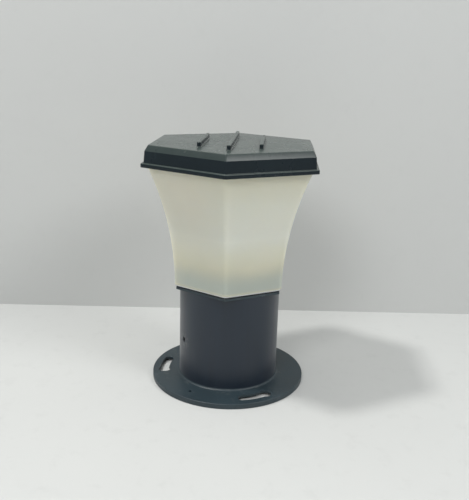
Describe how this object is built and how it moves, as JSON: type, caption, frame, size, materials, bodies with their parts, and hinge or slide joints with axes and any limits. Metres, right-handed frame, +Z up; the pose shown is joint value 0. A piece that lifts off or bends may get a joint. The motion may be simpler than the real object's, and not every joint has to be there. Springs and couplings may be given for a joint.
{
  "type": "bollard light",
  "caption": "Short bollard light: round pole on a slotted flange, flared hexagonal opal diffuser and a hexagonal lift-off lid with raised ribs.",
  "frame": {"origin": "middle of the flange on the ground plane", "axes": "+Z up along the pole, one corner of the hexagon towards -Y, two flats facing +X and -X"},
  "size_m": [0.1558, 0.18, 0.2376],
  "materials": {
    "housing": "satin",
    "lid_housing": "satin",
    "opal": "frosted, translucent",
    "rubber": "matt",
    "steel": "satin",
    "holder_porcelain": "glazed",
    "brass": "satin",
    "terminal_plastic": "satin",
    "live_sleeve": "satin",
    "neutral_sleeve": "satin",
    "earth_sleeve": "satin",
    "lamp_metal": "bright",
    "lamp_insulation": "matt",
    "lamp_plastic": "gloss",
    "lamp_opal": "frosted"
  },
  "bodies": {
    "housing": {"base_flange": "housing", "base_sleeve": "housing", "pole_tube": "housing", "lamp_head": "housing", "diffuser": "opal", "cable_grommet": "rubber", "diffuser_gasket": "rubber", "diffuser_washers": "rubber", "pole_grub_screws": "steel", "diffuser_screws": "steel", "holder_bracket": "steel", "bracket_screws": "steel", "holder_screws": "steel", "terminal_fixings": "steel", "earth_tag": "steel", "holder_body": "holder_porcelain", "holder_shell": "brass", "holder_contact": "brass", "terminal_screws": "brass", "earth_screw": "brass", "terminal_block": "terminal_plastic", "live_wire": "live_sleeve", "neutral_wire": "neutral_sleeve", "earth_wire": "earth_sleeve"},
    "lamp": {"lamp_cap": "lamp_metal", "lamp_insulator": "lamp_insulation", "lamp_contact": "brass", "lamp_housing": "lamp_plastic", "lamp_globe": "lamp_opal"},
    "lid_body": {"lid": "lid_housing", "lid_gasket": "rubber", "lid_clips": "steel", "lid_clip_screws": "steel"}
  },
  "joints": [
    {"name": "lid_lift", "type": "slide", "parent": "housing", "child": "lid_body", "axis": [0, 0, 1], "range_m": [0, 0.1]},
    {"name": "lamp_turn", "type": "hinge", "parent": "housing", "child": "lamp", "pos_m": [0, 0, 0.095], "axis": [0, 0, 1], "range_deg": [0, 1080]}
  ]
}
